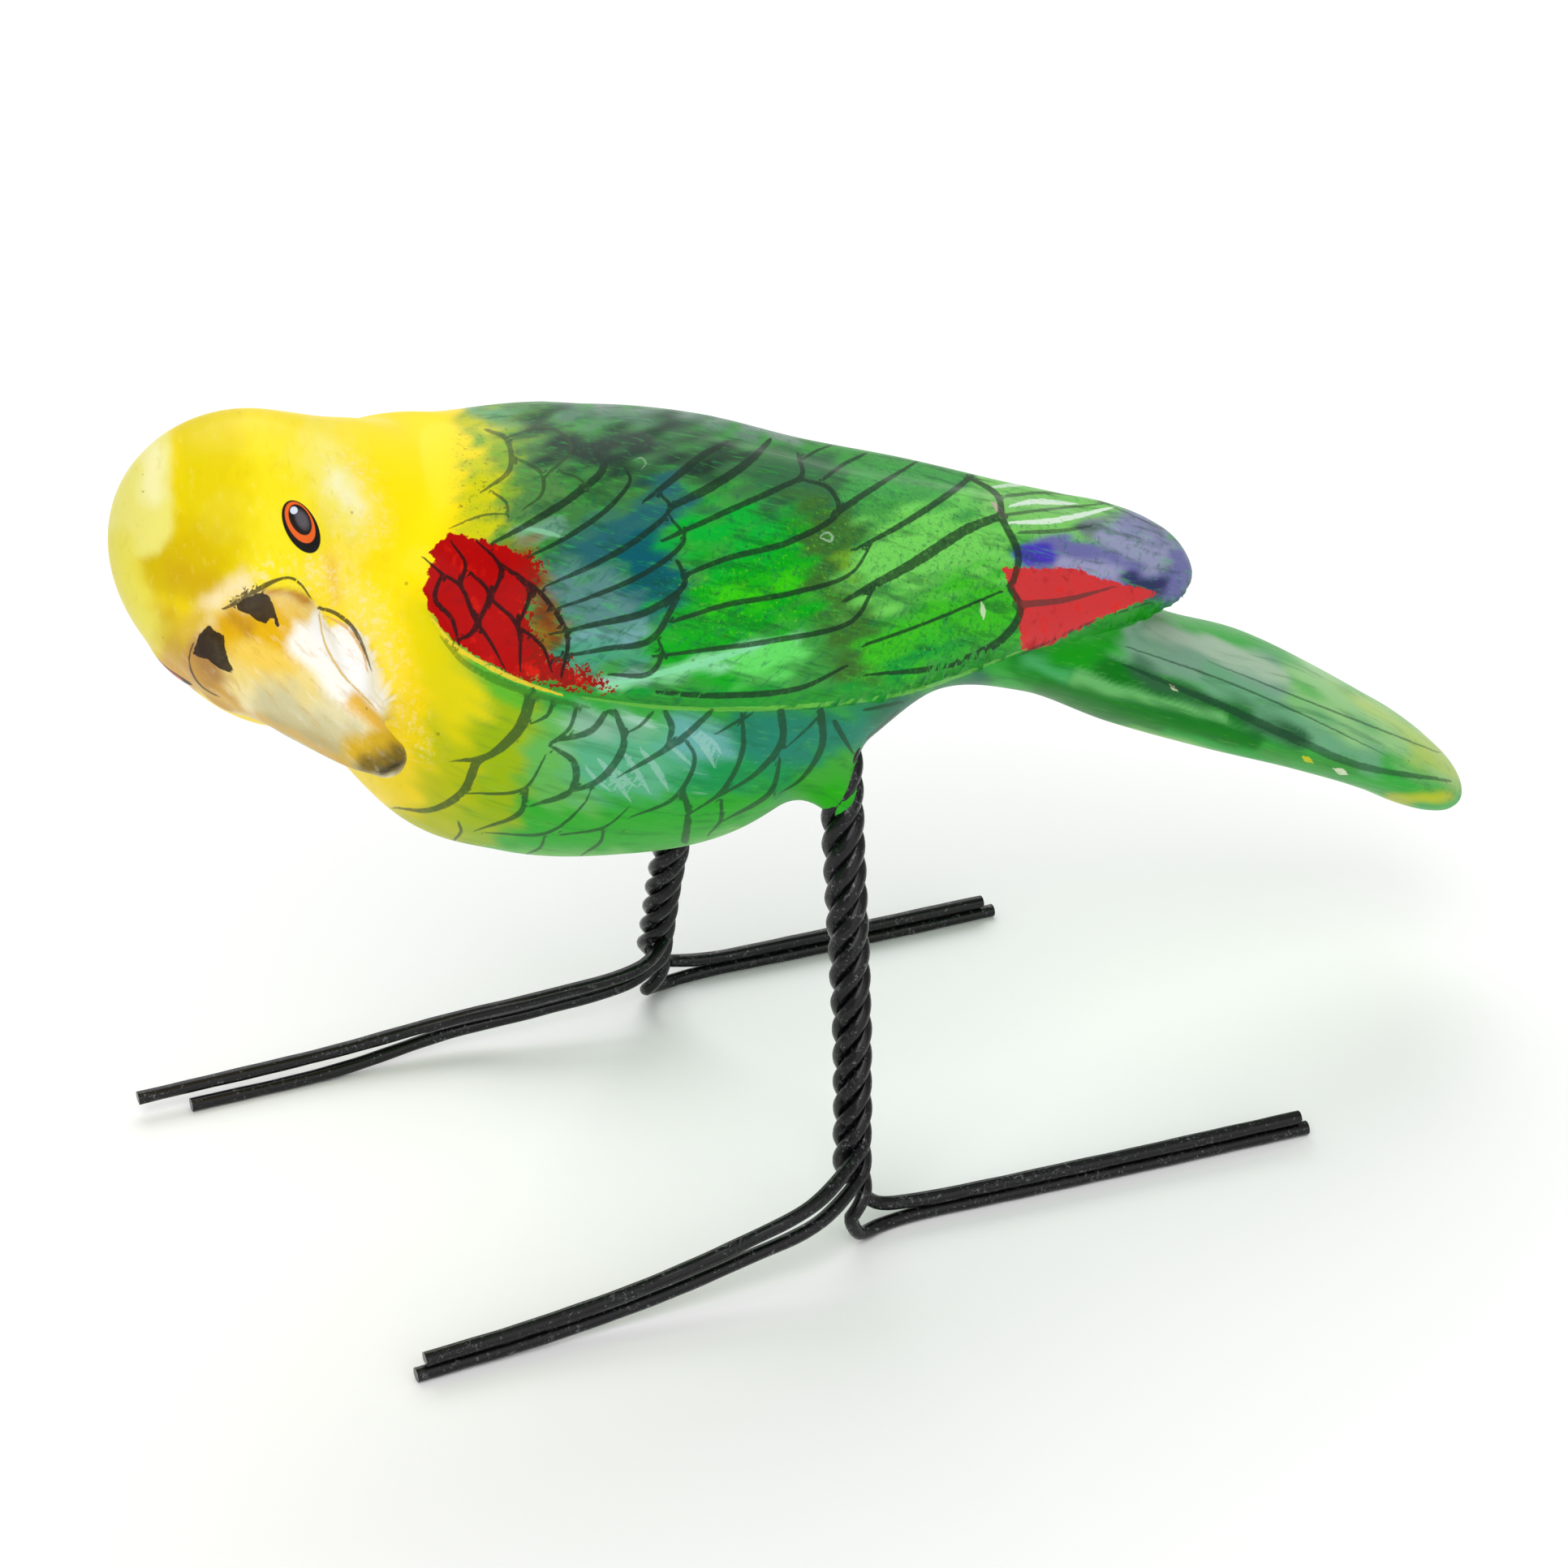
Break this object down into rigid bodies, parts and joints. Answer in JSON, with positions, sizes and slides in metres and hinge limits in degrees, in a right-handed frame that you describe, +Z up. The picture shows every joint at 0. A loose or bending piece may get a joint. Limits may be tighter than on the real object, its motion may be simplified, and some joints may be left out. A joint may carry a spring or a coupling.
{
  "type": "ceramic parrot figurine",
  "caption": "Hand-painted ceramic parrot that looks over its shoulder and stands on twisted black wire legs with long wire toes.",
  "frame": {"origin": "on the floor under the middle of the whole figurine's bounding box", "axes": "+X towards the tail, -Y the bird's left side (the side that its beak points to), +Z up"},
  "size_m": [0.1366, 0.052, 0.0829],
  "materials": {
    "painted_ceramic": "hand-painted and varnished low-fired ceramic",
    "black_wire": "glossy black paint, brushed on and worn at the edges"
  },
  "bodies": {
    "root": {"ceramic_bird": "painted_ceramic", "left_front_upper_wire": "black_wire", "left_front_lower_wire": "black_wire", "left_back_upper_wire": "black_wire", "left_back_lower_wire": "black_wire", "right_front_upper_wire": "black_wire", "right_front_lower_wire": "black_wire", "right_back_upper_wire": "black_wire", "right_back_lower_wire": "black_wire"}
  },
  "joints": []
}
